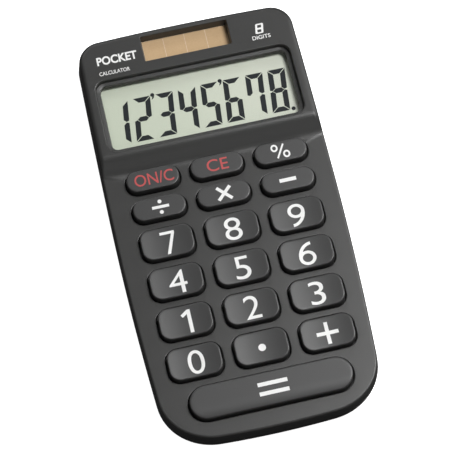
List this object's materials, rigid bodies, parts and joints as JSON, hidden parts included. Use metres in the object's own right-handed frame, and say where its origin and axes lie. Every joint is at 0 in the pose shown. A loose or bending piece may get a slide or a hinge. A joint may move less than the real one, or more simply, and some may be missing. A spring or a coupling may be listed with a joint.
{
  "type": "pocket calculator",
  "caption": "Pocket calculator: charcoal two-shell case with a raised display head, LCD, solar strip and sprung number, operator and function keys.",
  "frame": {"origin": "middle of the footprint, on the plane that the rubber feet stand on", "axes": "+X to the reader's right, +Y from the equals key towards the display, +Z out of the key face"},
  "size_m": [0.0644, 0.1226, 0.0124],
  "materials": {
    "case_plastic": "fine moulded texture, matte charcoal",
    "key_plastic": "satin charcoal with printed legends",
    "clear_window": "clear acrylic, polished",
    "polariser_film": "grey-green polarising film",
    "lcd_glass": "float glass with edge seal",
    "reflector_film": "satin silver-white film",
    "black_plastic": "moulded, matte",
    "ribbon_film": "amber polyimide film",
    "solar_glass": "tan amorphous silicon behind glass",
    "foam": "closed-cell foam",
    "wire_red": "PVC insulation",
    "wire_black": "PVC insulation",
    "board": "green solder mask",
    "epoxy": "glossy black epoxy",
    "capacitor_sleeve": "heat-shrunk sleeve",
    "cell_steel": "nickel-plated can",
    "contact_metal": "sprung strip",
    "silicone": "translucent silicone",
    "screw_steel": "zinc-plated",
    "foot_rubber": "matte black"
  },
  "bodies": {
    "case": {"front_case": "case_plastic", "rear_case": "case_plastic", "display_window": "clear_window", "display_polariser": "polariser_film", "lcd_cell": "lcd_glass", "display_reflector": "reflector_film", "display_holder": "black_plastic", "display_ribbon": "ribbon_film", "solar_cell": "solar_glass", "solar_pad": "foam", "solar_wire_red": "wire_red", "solar_wire_black": "wire_black", "circuit_board": "board", "chip_cap": "epoxy", "capacitor": "capacitor_sleeve", "button_cell": "cell_steel", "battery_contact_positive": "contact_metal", "battery_contact_negative": "contact_metal", "dome_sheet": "silicone", "case_screw_1": "screw_steel", "board_screw_1": "screw_steel", "foot_1": "foot_rubber", "case_screw_2": "screw_steel", "board_screw_2": "screw_steel", "foot_2": "foot_rubber", "case_screw_3": "screw_steel", "board_screw_3": "screw_steel", "foot_3": "foot_rubber", "case_screw_4": "screw_steel", "board_screw_4": "screw_steel", "foot_4": "foot_rubber"},
    "key_0": {"key_0": "key_plastic"},
    "key_1": {"key_1": "key_plastic"},
    "key_2": {"key_2": "key_plastic"},
    "key_3": {"key_3": "key_plastic"},
    "key_4": {"key_4": "key_plastic"},
    "key_5": {"key_5": "key_plastic"},
    "key_6": {"key_6": "key_plastic"},
    "key_7": {"key_7": "key_plastic"},
    "key_8": {"key_8": "key_plastic"},
    "key_9": {"key_9": "key_plastic"},
    "key_point": {"key_point": "key_plastic"},
    "key_plus": {"key_plus": "key_plastic"},
    "key_divide": {"key_divide": "key_plastic"},
    "key_multiply": {"key_multiply": "key_plastic"},
    "key_minus": {"key_minus": "key_plastic"},
    "key_on_clear": {"key_on_clear": "key_plastic"},
    "key_clear_entry": {"key_clear_entry": "key_plastic"},
    "key_percent": {"key_percent": "key_plastic"},
    "key_equals": {"key_equals": "key_plastic"}
  },
  "joints": [
    {"name": "press_0", "type": "slide", "parent": "case", "child": "key_0", "axis": [0, 0, -1], "range_m": [0, 0.001], "stiffness_N_per_m": 400, "deforming": ["dome_sheet"]},
    {"name": "press_1", "type": "slide", "parent": "case", "child": "key_1", "axis": [0, 0, -1], "range_m": [0, 0.001], "stiffness_N_per_m": 400, "deforming": ["dome_sheet"]},
    {"name": "press_2", "type": "slide", "parent": "case", "child": "key_2", "axis": [0, 0, -1], "range_m": [0, 0.001], "stiffness_N_per_m": 400, "deforming": ["dome_sheet"]},
    {"name": "press_3", "type": "slide", "parent": "case", "child": "key_3", "axis": [0, 0, -1], "range_m": [0, 0.001], "stiffness_N_per_m": 400, "deforming": ["dome_sheet"]},
    {"name": "press_4", "type": "slide", "parent": "case", "child": "key_4", "axis": [0, 0, -1], "range_m": [0, 0.001], "stiffness_N_per_m": 400, "deforming": ["dome_sheet"]},
    {"name": "press_5", "type": "slide", "parent": "case", "child": "key_5", "axis": [0, 0, -1], "range_m": [0, 0.001], "stiffness_N_per_m": 400, "deforming": ["dome_sheet"]},
    {"name": "press_6", "type": "slide", "parent": "case", "child": "key_6", "axis": [0, 0, -1], "range_m": [0, 0.001], "stiffness_N_per_m": 400, "deforming": ["dome_sheet"]},
    {"name": "press_7", "type": "slide", "parent": "case", "child": "key_7", "axis": [0, 0, -1], "range_m": [0, 0.001], "stiffness_N_per_m": 400, "deforming": ["dome_sheet"]},
    {"name": "press_8", "type": "slide", "parent": "case", "child": "key_8", "axis": [0, 0, -1], "range_m": [0, 0.001], "stiffness_N_per_m": 400, "deforming": ["dome_sheet"]},
    {"name": "press_9", "type": "slide", "parent": "case", "child": "key_9", "axis": [0, 0, -1], "range_m": [0, 0.001], "stiffness_N_per_m": 400, "deforming": ["dome_sheet"]},
    {"name": "press_point", "type": "slide", "parent": "case", "child": "key_point", "axis": [0, 0, -1], "range_m": [0, 0.001], "stiffness_N_per_m": 400, "deforming": ["dome_sheet"]},
    {"name": "press_plus", "type": "slide", "parent": "case", "child": "key_plus", "axis": [0, 0, -1], "range_m": [0, 0.001], "stiffness_N_per_m": 400, "deforming": ["dome_sheet"]},
    {"name": "press_divide", "type": "slide", "parent": "case", "child": "key_divide", "axis": [0, 0, -1], "range_m": [0, 0.001], "stiffness_N_per_m": 400, "deforming": ["dome_sheet"]},
    {"name": "press_multiply", "type": "slide", "parent": "case", "child": "key_multiply", "axis": [0, 0, -1], "range_m": [0, 0.001], "stiffness_N_per_m": 400, "deforming": ["dome_sheet"]},
    {"name": "press_minus", "type": "slide", "parent": "case", "child": "key_minus", "axis": [0, 0, -1], "range_m": [0, 0.001], "stiffness_N_per_m": 400, "deforming": ["dome_sheet"]},
    {"name": "press_on_clear", "type": "slide", "parent": "case", "child": "key_on_clear", "axis": [0, 0, -1], "range_m": [0, 0.001], "stiffness_N_per_m": 400, "deforming": ["dome_sheet"]},
    {"name": "press_clear_entry", "type": "slide", "parent": "case", "child": "key_clear_entry", "axis": [0, 0, -1], "range_m": [0, 0.001], "stiffness_N_per_m": 400, "deforming": ["dome_sheet"]},
    {"name": "press_percent", "type": "slide", "parent": "case", "child": "key_percent", "axis": [0, 0, -1], "range_m": [0, 0.001], "stiffness_N_per_m": 400, "deforming": ["dome_sheet"]},
    {"name": "press_equals", "type": "slide", "parent": "case", "child": "key_equals", "axis": [0, 0, -1], "range_m": [0, 0.001], "stiffness_N_per_m": 400, "deforming": ["dome_sheet"]}
  ]
}
